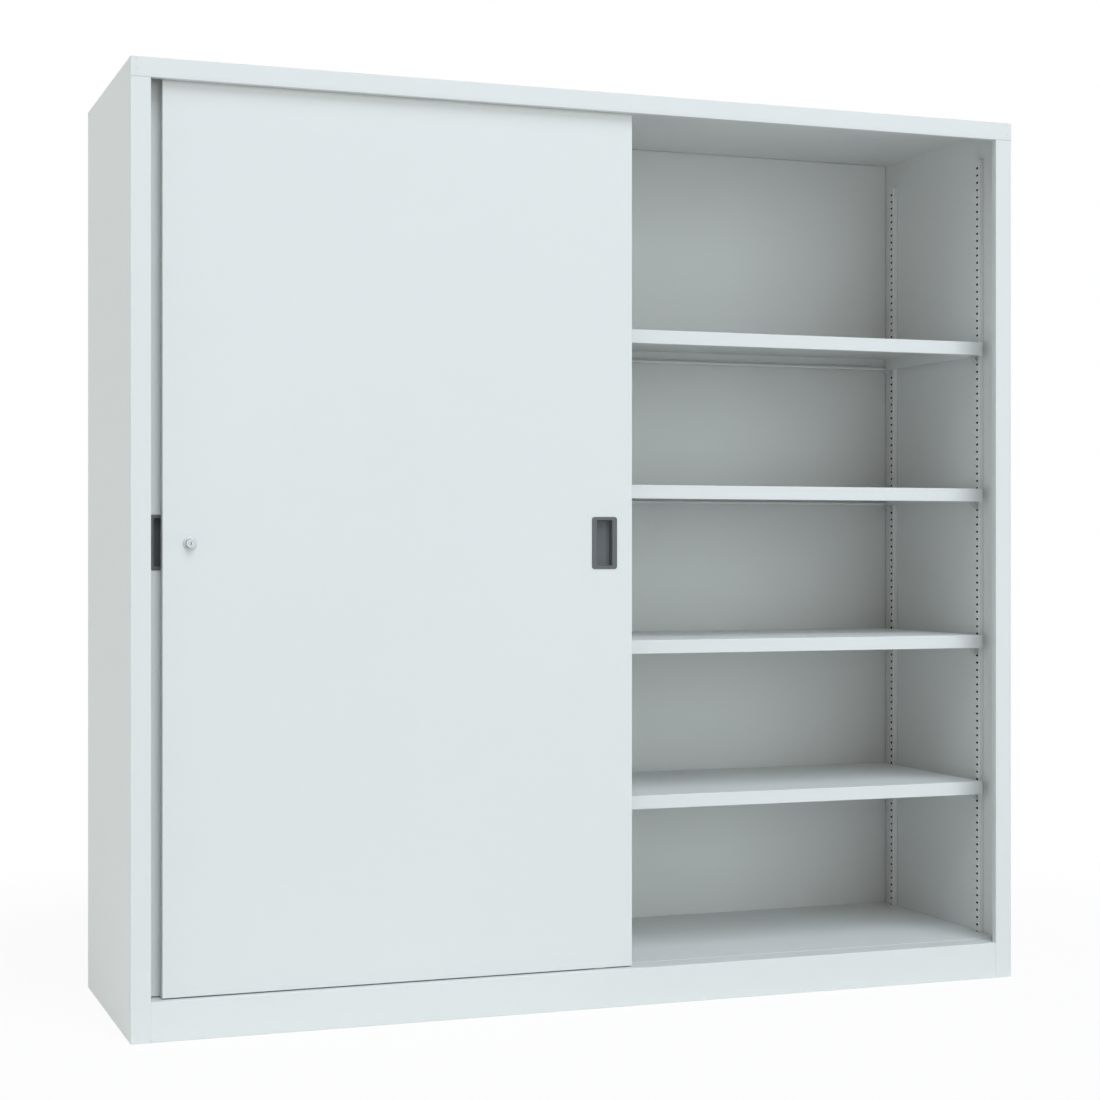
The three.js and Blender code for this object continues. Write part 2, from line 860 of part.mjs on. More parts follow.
function lockBarrel() {
  const bore = coreRadius + fitGap;
  const boreEnd = barrelFront + coreLength + fitGap;
  const profile = [
    [0, boreEnd],
    [bore, boreEnd],
    [bore, barrelFront],
    [barrelRadius - barrelChamfer, barrelFront],
    [barrelRadius, barrelFront + barrelChamfer],
    [barrelRadius, barrelReach],
    [0, barrelReach],
  ];
  return turned(profile, lockSides);
}

function keyCore() {
  const core = rod(coreRadius, barrelFront, barrelFront + coreLength, wheelSides);
  const keyway = block(
    [-keywayWidth / 2, keywayWidth / 2],
    [barrelFront - overrun, barrelFront + keywayDepth],
    [-keywayHeight / 2, keywayHeight / 2],
  );
  return cut(core, keyway);
}

// Strike: an angle on the rear door's right edge, which the pushed barrel stands behind
function lockStrike() {
  const reach = lockEdgeInset - doorOverlap - barrelRadius - strikeClearance;
  const half = strikeHeight / 2;
  const leg = block([fitGap, fitGap + sheet], [-strikeProud, strikeLeg], [-half, half]);
  const tab = block([fitGap, reach], [-strikeProud, -strikeProud + sheet], [-half, half]);
  return join(leg, tab);
}

// Each door is a group at its left bottom edge
function addDoor(name, leftX, faceY, gripX, lockX) {
  const door = new THREE.Group();
  door.position.set(leftX, faceY, doorBottomZ);
  door.add(
    piece(`${name}_panel`, doorPanel(gripX, lockX), paintedSteel()),
    piece(`${name}_stiffener`, doorStiffener(), zincSteel(), [doorWidth / 2, 0, 0]),
    piece(`${name}_bottom_channel`, bottomChannel(), zincSteel()),
    piece(`${name}_grip`, grip(), darkPlastic(), [gripX, 0, gripZ]),
  );
  const hangerPlaces = [
    ['left', rollerInset],
    ['right', doorWidth - rollerInset],
  ];
  for (const [side, x] of hangerPlaces) {
    door.add(
      piece(`${name}_${side}_hanger`, hanger(), zincSteel(), [x, doorMiddle, doorHeight]),
      piece(`${name}_${side}_roller`, roller(), nylon(), [x, doorMiddle, doorHeight + axleRise]),
    );
  }
  cabinet.add(door);
  return door;
}

const gripMiddle = gripEdgeInset + gripWidth / 2;
const frontDoor = addDoor('front_door', frontDoorLeftX, frontDoorY, doorWidth - gripMiddle, lockEdgeInset);
const rearDoor = addDoor('rear_door', rearDoorLeftX, rearDoorY, gripMiddle, null);

const lockPlace = [lockEdgeInset, 0, lockZ];
frontDoor.add(
  piece('lock_case', lockCase(), nickel(), lockPlace),
  piece('lock_barrel', lockBarrel(), nickel(), lockPlace),
  piece('key_core', keyCore(), nickel(), lockPlace),
);
rearDoor.add(piece('lock_strike', lockStrike(), zincSteel(), [doorWidth, 0, lockZ]));

export default cabinet;
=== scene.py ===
# A wide steel cupboard with two hanging sliding doors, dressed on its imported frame.
# Metres throughout: the floor is at z = 0, the doors face -Y and +X is to the right.
import json
from math import cos, pi, radians, sin, sqrt, tan

import bmesh
import bpy
from mathutils import Matrix, Vector


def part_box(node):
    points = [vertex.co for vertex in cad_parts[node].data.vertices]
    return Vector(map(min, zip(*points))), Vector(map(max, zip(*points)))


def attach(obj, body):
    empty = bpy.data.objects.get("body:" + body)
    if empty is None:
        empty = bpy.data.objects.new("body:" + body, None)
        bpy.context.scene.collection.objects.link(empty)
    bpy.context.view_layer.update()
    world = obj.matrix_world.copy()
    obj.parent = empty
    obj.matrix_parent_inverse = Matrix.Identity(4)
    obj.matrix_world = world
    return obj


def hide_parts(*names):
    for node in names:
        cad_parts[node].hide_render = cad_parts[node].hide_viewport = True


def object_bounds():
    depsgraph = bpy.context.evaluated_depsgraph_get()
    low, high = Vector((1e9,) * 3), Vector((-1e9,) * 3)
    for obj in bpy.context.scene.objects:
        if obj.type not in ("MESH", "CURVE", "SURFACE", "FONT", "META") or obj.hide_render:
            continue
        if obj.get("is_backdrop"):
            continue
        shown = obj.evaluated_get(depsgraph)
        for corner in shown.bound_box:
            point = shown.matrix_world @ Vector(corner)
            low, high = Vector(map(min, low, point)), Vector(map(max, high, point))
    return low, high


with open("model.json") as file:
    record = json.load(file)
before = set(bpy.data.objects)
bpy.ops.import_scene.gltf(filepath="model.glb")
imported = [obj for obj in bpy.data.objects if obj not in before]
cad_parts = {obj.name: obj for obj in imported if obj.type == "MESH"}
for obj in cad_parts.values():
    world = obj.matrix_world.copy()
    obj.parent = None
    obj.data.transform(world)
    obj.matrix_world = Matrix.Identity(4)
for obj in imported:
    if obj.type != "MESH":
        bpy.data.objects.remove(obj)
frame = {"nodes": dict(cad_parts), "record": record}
cadLow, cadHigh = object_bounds()
print("frame loaded")


# Camera: the photograph's own place and lens
cameraPlace = {
    "location": (-1.680, -4.5966, 0.975),
    "turn": -19.941,
    "lens": 70.93,
    "sensor": 36.0,
    "reach": 60,
}
cameraData = bpy.data.cameras.new("photoCamera")
cameraData.lens = cameraPlace["lens"]
cameraData.sensor_width = cameraPlace["sensor"]
cameraData.clip_end = cameraPlace["reach"]
camera = bpy.data.objects.new("photoCamera", cameraData)
camera.location = cameraPlace["location"]
camera.rotation_euler = (radians(90), 0, radians(cameraPlace["turn"]))
bpy.context.scene.collection.objects.link(camera)
bpy.context.scene.camera = camera
bpy.context.scene.view_settings.view_transform = "Standard"


# Shader maths: a Wire is a socket that takes part in sums
class Wire:
    def __init__(self, shader, socket):
        self.shader = shader
        self.socket = socket

    def combine(self, operation, first, second):
        return self.shader.node("ShaderNodeMath", {"operation": operation}, {0: first, 1: second})

    def __add__(self, other):
        return self.combine("ADD", self, other)

    def __radd__(self, other):
        return self.combine("ADD", other, self)

    def __sub__(self, other):
        return self.combine("SUBTRACT", self, other)

    def __rsub__(self, other):
        return self.combine("SUBTRACT", other, self)

    def __mul__(self, other):
        return self.combine("MULTIPLY", self, other)

    def __rmul__(self, other):
        return self.combine("MULTIPLY", other, self)

    def larger(self, other):
        return self.combine("MAXIMUM", self, other)


class Shader:
    def __init__(self, tree):
        self.tree = tree
        self.tree.nodes.clear()

    def node(self, kind, settings=None, sockets=None, output=None):
        made = self.tree.nodes.new(kind)
        for key, value in (settings or {}).items():
            if key == "stops":
                ramp = made.color_ramp
                for index, (place, colour) in enumerate(value):
                    stop = ramp.elements[index] if index < 2 else ramp.elements.new(place)
                    stop.position = place
                    stop.color = colour
            else:
                setattr(made, key, value)
        for key, value in (sockets or {}).items():
            if isinstance(value, Wire):
                self.tree.links.new(value.socket, made.inputs[key])
            else:
                made.inputs[key].default_value = value
        if output is not None:
            return Wire(self, made.outputs[output])
        shown = [socket for socket in made.outputs if socket.enabled]
        return Wire(self, shown[0]) if shown else None

    # Metres from the cupboard's own origin, the same in every view
    def place(self):
        return self.node("ShaderNodeTexCoord", output="Object")

    def noise(self, scale, detail):
        return self.node("ShaderNodeTexNoise", None,
                         {"Vector": self.place(), "Scale": scale, "Detail": detail})

    def mixColour(self, factor, first, second):
        return self.node("ShaderNodeMix", {"data_type": "RGBA"}, {0: factor, 6: first, 7: second})

    def bump(self, height, strength, distance):
        return self.node("ShaderNodeBump", None,
                         {"Strength": strength, "Distance": distance, "Height": height})

    def finish(self, sockets):
        surface = self.node("ShaderNodeBsdfPrincipled", None, sockets)
        self.node("ShaderNodeOutputMaterial", None, {"Surface": surface})


def newMaterial(name):
    material = bpy.data.materials.new(name)
    material.use_nodes = True
    return material, Shader(material.node_tree)


# A colour read off a screen, from 0 to 255, as the shader's own linear colour
def fromScreen(red, green, blue):
    def channel(value):
        value /= 255
        return value / 12.92 if value <= 0.04045 else ((value + 0.055) / 1.055) ** 2.4
    return (channel(red), channel(green), channel(blue), 1)


# Powder coat: one even grey with a faint drift of tone and a very fine orange peel
powderCoat = {
    "tone": fromScreen(228, 230, 228),
    "driftTone": fromScreen(225, 227, 225),
    "driftScale": 1.6,
    "driftDetail": 3,
    "patchScale": 14.4,
    "patchDetail": 2,
    "roughness": 0.5,
    "patchRoughness": 0.06,
    "specular": 0.45,
    "peelScale": 650,
    "peelDetail": 1,
    "peelStrength": 0.05,
    "peelDistance": 0.0002,
}


def makePowderCoat():
    look = powderCoat
    material, shader = newMaterial("powderCoat")
    drift = shader.noise(look["driftScale"], look["driftDetail"])
    patches = shader.noise(look["patchScale"], look["patchDetail"])
    peel = shader.noise(look["peelScale"], look["peelDetail"])
    shader.finish({
        "Base Color": shader.mixColour(drift, look["tone"], look["driftTone"]),
        "Roughness": look["roughness"] + (patches - 0.5) * look["patchRoughness"],
        "Specular IOR Level": look["specular"],
        "Normal": shader.bump(peel, look["peelStrength"], look["peelDistance"]),
    })
    return material


# Zinc plated steel: pale crystals and a soft metallic sheen
zincPlate = {
    "tone": (0.64, 0.66, 0.67, 1),
    "paleTone": (0.74, 0.76, 0.77, 1),
    "metallic": 0.75,
    "roughness": 0.34,
    "crystalScale": 90,
    "crystalRoughness": 0.2,
    "streakScale": 420,
    "streakDetail": 2,
    "streakRoughness": 0.1,
    "streakStrength": 0.08,
    "streakDistance": 0.0002,
}


def makeZincPlate():
    look = zincPlate
    material, shader = newMaterial("zincPlate")
    sockets = {"Vector": shader.place(), "Scale": look["crystalScale"], "Randomness": 1.0}
    crystals = shader.node("ShaderNodeTexVoronoi", {"feature": "F1"}, sockets, "Color")
    level = shader.node("ShaderNodeRGBToBW", None, {"Color": crystals})
    streaks = shader.noise(look["streakScale"], look["streakDetail"])
    crystalRoughness = level * look["crystalRoughness"]
    streakRoughness = (streaks - 0.5) * look["streakRoughness"]
    shader.finish({
        "Base Color": shader.mixColour(level, look["tone"], look["paleTone"]),
        "Metallic": look["metallic"],
        "Roughness": look["roughness"] + crystalRoughness + streakRoughness,
        "Normal": shader.bump(streaks, look["streakStrength"], look["streakDistance"]),
    })
    return material


# Moulded grip plastic: dark grey with a fine spark eroded grain
gripPlastic = {
    "tone": fromScreen(94, 97, 99),
    "wornTone": fromScreen(101, 104, 106),
    "roughness": 0.5,
    "specular": 0.35,
    "rubScale": 35,
    "rubDetail": 3,
    "rubRoughness": 0.14,
    "grainScale": 1500,
    "grainDetail": 2,
    "grainStrength": 0.12,
    "grainDistance": 0.0002,
}


def makeGripPlastic():
    look = gripPlastic
    material, shader = newMaterial("gripPlastic")
    grain = shader.noise(look["grainScale"], look["grainDetail"])
    rub = shader.noise(look["rubScale"], look["rubDetail"])
    shader.finish({
        "Base Color": shader.mixColour(rub, look["tone"], look["wornTone"]),
        "Roughness": look["roughness"] + (rub - 0.5) * look["rubRoughness"],
        "Specular IOR Level": look["specular"],
        "Normal": shader.bump(grain, look["grainStrength"], look["grainDistance"]),
    })
    return material


# Satin nickel with turning marks round the lock's own axis
nickelPlate = {
    "tone": (0.6, 0.605, 0.615, 1),
    "metallic": 0.3,
    "roughness": 0.45,
    "smudgeScale": 160,
    "smudgeDetail": 3,
    "smudgeRoughness": 0.12,
    "ringScale": 5200,
    "ringStrength": 0.1,
    "ringDistance": 0.00005,
}


def makeNickelPlate(centre):
    look = nickelPlate
    material, shader = newMaterial("nickelPlate")
    offset = shader.node("ShaderNodeVectorMath", {"operation": "SUBTRACT"},
                         {0: shader.place(), 1: centre})
    flat = shader.node("ShaderNodeVectorMath", {"operation": "MULTIPLY"},
                       {0: offset, 1: (1, 0, 1)})
    radius = shader.node("ShaderNodeVectorMath", {"operation": "LENGTH"}, {0: flat}, "Value")
    rings = shader.node("ShaderNodeMath", {"operation": "SINE"}, {0: radius * look["ringScale"]})
    smudge = shader.noise(look["smudgeScale"], look["smudgeDetail"])
    shader.finish({
        "Base Color": look["tone"],
        "Metallic": look["metallic"],
        "Roughness": look["roughness"] + (smudge - 0.5) * look["smudgeRoughness"],
        "Normal": shader.bump(rings, look["ringStrength"], look["ringDistance"]),
    })
    return material


# Painted shade: a near-black finish with faint patches, for linings put in hollows seen through
# slots, so that the slots read dark
paintedShadeSheet = {
    "tone": (0.02, 0.021, 0.023, 1),
    "paleTone": (0.042, 0.042, 0.044, 1),
    "roughness": 0.6,
    "specular": 0.2,
    "patchScale": 120,
    "patchDetail": 4,
    "patchRoughness": 0.3,
    "patchStrength": 0.1,
    "patchDistance": 0.0002,
}


def makePaintedShadeSheet():
    look = paintedShadeSheet
    material, shader = newMaterial("paintedShadeSheet")
    patches = shader.noise(look["patchScale"], look["patchDetail"])
    shader.finish({
        "Base Color": shader.mixColour(patches, look["tone"], look["paleTone"]),
        "Roughness": look["roughness"] + (patches - 0.5) * look["patchRoughness"],
        "Specular IOR Level": look["specular"],
        "Normal": shader.bump(patches, look["patchStrength"], look["patchDistance"]),
    })
    return material


# Nylon of the rollers and guides: cloudy and slightly waxy
slidingNylon = {
    "tone": (0.76, 0.76, 0.7, 1),
    "cloudTone": (0.7, 0.7, 0.65, 1),
    "roughness": 0.34,
    "subsurface": 0.05,
    "subsurfaceRadius": (0.004, 0.004, 0.003),
    "cloudScale": 240,
    "cloudDetail": 3,
    "cloudRoughness": 0.1,
    "cloudStrength": 0.05,
    "cloudDistance": 0.0002,
}


def makeNylon():
    look = slidingNylon
    material, shader = newMaterial("nylon")
    clouds = shader.noise(look["cloudScale"], look["cloudDetail"])
    shader.finish({
        "Base Color": shader.mixColour(clouds, look["tone"], look["cloudTone"]),
        "Roughness": look["roughness"] + (clouds - 0.5) * look["cloudRoughness"],
        "Subsurface Weight": look["subsurface"],
        "Subsurface Radius": look["subsurfaceRadius"],
        "Normal": shader.bump(clouds, look["cloudStrength"], look["cloudDistance"]),
    })
    return material


# Rubber of the stops: black with a little dust
stopRubber = {
    "tone": (0.012, 0.012, 0.013, 1),
    "dustTone": (0.03, 0.03, 0.031, 1),
    "roughness": 0.72,
    "dustScale": 700,
    "dustDetail": 3,
    "dustRoughness": 0.2,
    "dustStrength": 0.2,
    "dustDistance": 0.0003,
}


def makeRubber():
    look = stopRubber
    material, shader = newMaterial("rubber")
    dust = shader.noise(look["dustScale"], look["dustDetail"])
    shader.finish({
        "Base Color": shader.mixColour(dust, look["tone"], look["dustTone"]),
        "Roughness": look["roughness"] + (dust - 0.5) * look["dustRoughness"],
        "Normal": shader.bump(dust, look["dustStrength"], look["dustDistance"]),
    })
    return material


lockLow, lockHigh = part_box("lock_case")
lockCentre = (lockLow + lockHigh) / 2
finishes = {
    "painted_steel": makePowderCoat(),
    "zinc_steel": makeZincPlate(),
    "grip_plastic": makeGripPlastic(),
    "nickel": makeNickelPlate(tuple(lockCentre)),
    "nylon": makeNylon(),
    "rubber": makeRubber(),
    # painted shade for the linings behind the strips' slots and in the key slot
    "painted_shade": makePaintedShadeSheet(),
}
slotOf = {entry["node"]: entry["material_slot"] for entry in frame["record"]["subparts"]}
bodyOf = {}
for bodyName, members in frame["record"]["behaviour"]["bodies"].items():
    for member in members:
        bodyOf[member] = bodyName
for node, cadObject in frame["nodes"].items():
    cadObject.data.materials.clear()
    cadObject.data.materials.append(finishes[slotOf[node]])
print("finishes made")


jointGap = 0.0003  # sheets that are joined lie this far apart, as in the solids
mergeReach = 2e-6  # corners nearer to each other than this become one
shelfCount = 4


# A finished mesh becomes a piece that rides on a body and takes a slot's finish
def addPiece(name, bm, body, slotName, replaced=(), smooth=True, sharp=None):
    mesh = bpy.data.meshes.new(name)
    bmesh.ops.recalc_face_normals(bm, faces=bm.faces)
    bm.to_mesh(mesh)
    bm.free()
    mesh.polygons.foreach_set("use_smooth", [smooth] * len(mesh.polygons))
    if sharp:
        mesh.set_sharp_from_angle(angle=radians(sharp))
    mesh.materials.append(finishes[slotName])
    piece = bpy.data.objects.new(name, mesh)
    bpy.context.scene.collection.objects.link(piece)
    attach(piece, body)
    if replaced:
        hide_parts(*replaced)
    return piece


# Points on an arc, as (radius, depth) or (out, across), with its ends given in degrees
def arc(centreFirst, centreSecond, radius, start, end, steps):
    angles = [radians(start + (end - start) * step / steps) for step in range(steps + 1)]
    return [(centreFirst + radius * cos(angle), centreSecond + radius * sin(angle))
            for angle in angles]


# Folded sheet: the outside of each fold gets a bend radius, and each cut edge is just eased
foldedSheet = {
    "thickness": 0.0012,
    "foldRadius": 0.0015,
    "shelfThickness": 0.001,
    "shelfFoldRadius": 0.0013,
    "cutRadius": 0.00025,
    "segments": 3,
    "leastAngle": 0.3,  # radians, as is the next: flatter edges are parts of one bend
    "hollowAngle": -0.5,
    "foldReach": 0.3,  # share of the sheet's thickness
}
flatAngle = radians(1)  # faces that meet at less than this are one flat face


# A solid's mesh with its flat faces whole again
def cadMesh(node):
    bm = bmesh.new()
    bm.from_mesh(frame["nodes"][node].data)
    bmesh.ops.remove_doubles(bm, verts=bm.verts, dist=mergeReach)
    bmesh.ops.dissolve_limit(bm, angle_limit=flatAngle, verts=bm.verts, edges=bm.edges)
    bmesh.ops.recalc_face_normals(bm, faces=bm.faces)
    return bm


# True where a point lies near an edge
def nearSegment(point, edge, reach):
    start, end = (vert.co for vert in edge.verts)
    along = end - start
    share = max(0, min(1, (point - start).dot(along) / along.length_squared))
    return (start + along * share - point).length < reach


# An outer edge is a fold where a hollow edge runs one sheet's thickness behind it
def weighFolds(bm, thickness, foldRadius):
    look = foldedSheet
    cutWeight = look["cutRadius"] / foldRadius
    weight = bm.edges.layers.float.new("bevel_weight_edge")
    hollows = [edge for edge in bm.edges
               if edge.calc_face_angle_signed(0) < look["hollowAngle"]]
    for edge in bm.edges:
        angle = edge.calc_face_angle_signed(0)
        if abs(angle) < look["leastAngle"]:
            continue
        if angle < 0:
            edge[weight] = max((foldRadius - thickness) / foldRadius, cutWeight)
            continue
        first, second = edge.link_faces
        inward = -(first.normal + second.normal).normalized() * thickness * sqrt(2)
        middle = (edge.verts[0].co + edge.verts[1].co) / 2 + inward
        reach = thickness * look["foldReach"]
        folded = any(nearSegment(middle, hollow, reach) for hollow in hollows)
        edge[weight] = 1 if folded else cutWeight


# Rounds a piece's edges by their weights, as shares of the width
def softenEdges(piece, width, segments):
    bevel = piece.modifiers.new("edges", "BEVEL")
    bevel.limit_method = "WEIGHT"
    bevel.width = width
    bevel.segments = segments
    bevel.use_clamp_overlap = False
    bevel.miter_outer = "MITER_SHARP"
    shading = piece.modifiers.new("shading", "WEIGHTED_NORMAL")
    shading.mode = "FACE_AREA"
    shading.weight = 100  # the large faces alone decide the shading
    shading.keep_sharp = True


def addSheet(node, name, thickness, foldRadius):
    bm = cadMesh(node)
    weighFolds(bm, thickness, foldRadius)
    piece = addPiece(name, bm, bodyOf[node], slotOf[node], [node])
    softenEdges(piece, foldRadius, foldedSheet["segments"])


sheetNames = {
    "left_side_panel": "leftSidePanel",
    "right_side_panel": "rightSidePanel",
    "top_panel": "topPanel",
    "front_plinth": "frontPlinth",
    "floor_panel": "floorPanel",
    "floor_support": "floorSupport",
    "left_back_panel": "leftBackPanel",
    "right_back_panel": "rightBackPanel",
    "centre_partition": "centrePartition",
    "top_door_track": "topDoorTrack",
    "front_door_panel": "frontDoorPanel",
    "front_door_stiffener": "frontDoorStiffener",
    "front_door_bottom_channel": "frontDoorChannel",
    "rear_door_panel": "rearDoorPanel",
    "rear_door_stiffener": "rearDoorStiffener",
    "rear_door_bottom_channel": "rearDoorChannel",
    "lock_strike": "lockStrike",
}
for node, name in sheetNames.items():
    addSheet(node, name, foldedSheet["thickness"], foldedSheet["foldRadius"])
for side in ("left", "right"):
    for number in range(1, shelfCount + 1):
        addSheet(f"{side}_shelf_{number}", f"{side}Shelf{number}",
                 foldedSheet["shelfThickness"], foldedSheet["shelfFoldRadius"])
print("folded sheets made")


# Shelf strip: a channel with a column of short round-ended slots across its face
shelfStrip = {
    "width": 0.020,
    "depth": 0.0118,
    "thickness": 0.0007,
    "bend": 0.0015,
    "bendSteps": 3,
    "bottom": 0.0818,
    "top": 1.8865,
    "slotEnd": 0.0025,
    "slotLength": 0.010,
    "holePitch": 0.017,
    "firstHole": 0.0826,
    "holeCount": 106,
    "slotEnds": [(1, (54, 90)), (-1, (90, 126, 162, 198, 234, 270)), (1, (270, 306, 342, 18))],
    "cellAngle": 15,  # where the cell's border is parted, in degrees from its middle
    "sharp": 40,
}


# Corners run round a cell of the face: (across, up) of the border and of the slot, as many of each.
# The slot's ends are given by their side and the degrees of their corners
def cellRing(half, inner):
    look = shelfStrip
    border = [(half, half), (inner, half), (-inner, half)]
    border += [(-half, half), (-half, inner), (-half, -inner)]
    border += [(-across, -up) for across, up in border]
    slotEnd = look["slotEnd"]
    reach = look["slotLength"] / 2 - slotEnd
    slot = []
    for side, angles in look["slotEnds"]:
        for angle in angles:
            slot.append((side * reach + slotEnd * cos(radians(angle)),
                         slotEnd * sin(radians(angle))))
    return border, slot


def stripMesh(wallX, frontY, facing):
    look = shelfStrip
    bm = bmesh.new()
    middle = look["width"] / 2
    half = look["holePitch"] / 2
    inner = half * tan(radians(look["cellAngle"]))
    thickness = look["thickness"]
    face = look["depth"]
    top = look["top"]

    def corner(out, across, up):
        return bm.verts.new((wallX + facing * out, frontY + middle + across, up))

    def wall(points):
        bm.faces.new([corner(*point) for point in points])

    # The outer and the inner skin of a part of the face
    def skins(outline, centre):
        for out in (face, face - thickness):
            wall([(out, across, centre + up) for across, up in outline])

    # A cut edge of the face, through the sheet
    def rim(begin, finish, centre):
        back = face - thickness
        ring = ((face, begin), (face, finish), (back, finish), (back, begin))
        wall([(out, across, centre + up) for out, (across, up) in ring])

    border, hole = cellRing(half, inner)
    count = len(hole)
    heights = [look["bottom"]]
    for index in range(1, look["holeCount"]):
        centre = look["firstHole"] + index * look["holePitch"]
        heights += [centre - half, centre - inner, centre + inner]
        for step in range(count):
            after = (step + 1) % count
            skins((border[step], border[after], hole[after], hole[step]), centre)
            rim(hole[step], hole[after], centre)
    cellTop = look["firstHole"] + (look["holeCount"] - 1) * look["holePitch"] + half
    heights += [cellTop, top]

    # The plain piece above the last slot, and the open part of a slot at the floor
    columns = [-half, -inner, inner, half]
    for left, right in zip(columns, columns[1:]):
        skins([(left, cellTop), (right, cellTop), (right, top), (left, top)], 0)
        rim((left, top), (right, top), 0)
    low = look["bottom"] - look["firstHole"]
    reach = look["slotLength"] / 2 - look["slotEnd"] + sqrt(look["slotEnd"] ** 2 - low ** 2)
    sweep = [(across, up) for across, up in (hole[-2:] + hole[:6]) if up > low][::-1]
    notch = [(-half, low), (-reach, low)] + sweep + [(reach, low), (half, low)]
    roof = [(half, half), (inner, half), (-inner, half), (-half, half)]
    skins(notch + roof, look["firstHole"])
    for begin, finish in zip(notch, notch[1:]):
        rim(begin, finish, look["firstHole"])

    # Both flanges, swept past the same heights so that the mesh stays closed
    bend, steps = look["bend"], look["bendSteps"]
    innerBend = bend - thickness
    loop = arc(face - bend, half, bend, 0, 90, steps)
    loop += [(jointGap, half + bend), (jointGap, half + innerBend)]
    loop += arc(face - bend, half, innerBend, 0, 90, steps)[::-1]
    for side in (1, -1):
        for low, high in zip(heights, heights[1:]):
            for (out0, across0), (out1, across1) in zip(loop, loop[1:]):
                wall([(out0, side * across0, low), (out1, side * across1, low),
                      (out1, side * across1, high), (out0, side * across0, high)])
        for level in (heights[0], heights[-1]):
            wall([(out, side * across, level) for out, across in loop])
    bmesh.ops.remove_doubles(bm, verts=bm.verts, dist=mergeReach)
    return bm


# Painted shade inside the strip: a thin near-black channel that lines its wall and both flanges, so
# that its slots read dark
stripShadeLining = {
    "gap": 0.0002,
    "thickness": 0.0002,
}


def shadeLiningMesh(wallX, frontY, facing):
    look = stripShadeLining
    bm = bmesh.new()
    side = shelfStrip["width"] / 2 - shelfStrip["thickness"] - look["gap"]
    foot = look["gap"]
    reach = shelfStrip["depth"] - shelfStrip["bend"]
    inner, base = side - look["thickness"], foot + look["thickness"]
    outline = [(reach, -side), (foot, -side), (foot, side), (reach, side)]
    outline += [(reach, inner), (base, inner), (base, -inner), (reach, -inner)]
    middle = frontY + shelfStrip["width"] / 2
    rings = []
    for level in (shelfStrip["bottom"], shelfStrip["top"]):
        rings.append([bm.verts.new((wallX + facing * out, middle + across, level))
                      for out, across in outline])
    for step in range(len(outline)):
        after = (step + 1) % len(outline)
        bm.faces.new([rings[0][step], rings[0][after], rings[1][after], rings[1][step]])
    for ring in rings:
        bm.faces.new(ring)
    return bm


stripPlaces = {
    "right_wall_front_strip": ("rightWallFrontStrip", -1),
    "right_wall_back_strip": ("rightWallBackStrip", -1),
    "left_partition_front_strip": ("leftPartitionFrontStrip", -1),
    "left_partition_back_strip": ("leftPartitionBackStrip", -1),
    "right_partition_front_strip": ("rightPartitionFrontStrip", 1),
    "right_partition_back_strip": ("rightPartitionBackStrip", 1),
    "left_wall_front_strip": ("leftWallFrontStrip", 1),
    "left_wall_back_strip": ("leftWallBackStrip", 1),
}
for node, (name, facing) in stripPlaces.items():
    low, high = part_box(node)
    wallX = (high.x if facing < 0 else low.x) - facing * jointGap
    addPiece(name, stripMesh(wallX, low.y, facing), "carcass", "painted_steel", [node],
             sharp=shelfStrip["sharp"])
    # a near-black lining in each strip paints the shade seen through its slots
    addPiece(f"{name}ShadeLining", shadeLiningMesh(wallX, low.y, facing), "carcass", "painted_shade", smooth=False)
print("shelf strips made")


# Clips: the loose clip's own shape, eased, and put at each strip and shelf
shelfClip = {
    "foldRadius": 0.0007,
    "insideShare": 0.45,
    "cutShare": 0.3,
    "segments": 2,
    "leastAngle": 0.3,  # radians
    "foldLevel": 0.9,
    "faceDepth": 0.0121,
}

# The loose clips' own strip, from which their shape is moved to the others
stripLow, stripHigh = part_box("right_wall_front_strip")
clipCentre = Vector((stripLow.x, (stripLow.y + stripHigh.y) / 2, 0))


# A clip is bent about lines that run from front to back
def weighClip(bm):
    look = shelfClip
    weight = bm.edges.layers.float.new("bevel_weight_edge")
    for edge in bm.edges:
        angle = edge.calc_face_angle_signed(0)
        if abs(angle) < look["leastAngle"]:
            continue
        start, end = (vert.co for vert in edge.verts)
        folded = abs((end - start).normalized().y) > look["foldLevel"]
        if angle < 0:
            edge[weight] = look["insideShare"]
        else:
            edge[weight] = 1 if folded else look["cutShare"]


def clipMesh(number, target, facing):
    bm = cadMesh(f"front_clip_{number}")
    weighClip(bm)
    shift = Vector((target.x, target.y, 0))
    for vert in bm.verts:
        offset = vert.co - clipCentre
        vert.co = shift + Vector((-facing * offset.x, offset.y, offset.z))
    return bm


for node, (name, facing) in stripPlaces.items():
    low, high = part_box(node)
    wallX = (high.x if facing < 0 else low.x) - facing * jointGap
    target = Vector((wallX + facing * shelfClip["faceDepth"], (low.y + high.y) / 2, 0))
    side = "front" if "front" in node else "back"
    loose = node.startswith("right_wall")
    for number in range(1, shelfCount + 1):
        replaced = [f"{side}_clip_{number}"] if loose else []
        clip = addPiece(f"{name}Clip{number}", clipMesh(number, target, facing), "carcass",
                        "zinc_steel", replaced)
        softenEdges(clip, shelfClip["foldRadius"], shelfClip["segments"])
print("clips made")


# Turned pieces: a profile of (radius, depth) swept round the Y axis
def turnedMesh(profile, steps, centre):
    bm = bmesh.new()
    rings = []
    for radius, depth in profile:
        if radius == 0:
            rings.append([bm.verts.new((centre.x, centre.y + depth, centre.z))] * steps)
            continue
        ring = []
        for step in range(steps):
            angle = 2 * pi * step / steps
            ring.append(bm.verts.new((centre.x + radius * cos(angle), centre.y + depth,
                                      centre.z + radius * sin(angle))))
        rings.append(ring)
    for near, far in zip(rings, rings[1:]):
        for step in range(steps):
            corners = [near[step], near[(step + 1) % steps], far[(step + 1) % steps], far[step]]
            distinct = list(dict.fromkeys(corners))
            if len(distinct) > 2:
                bm.faces.new(distinct)
    bmesh.ops.remove_doubles(bm, verts=bm.verts, dist=mergeReach)
    return bm


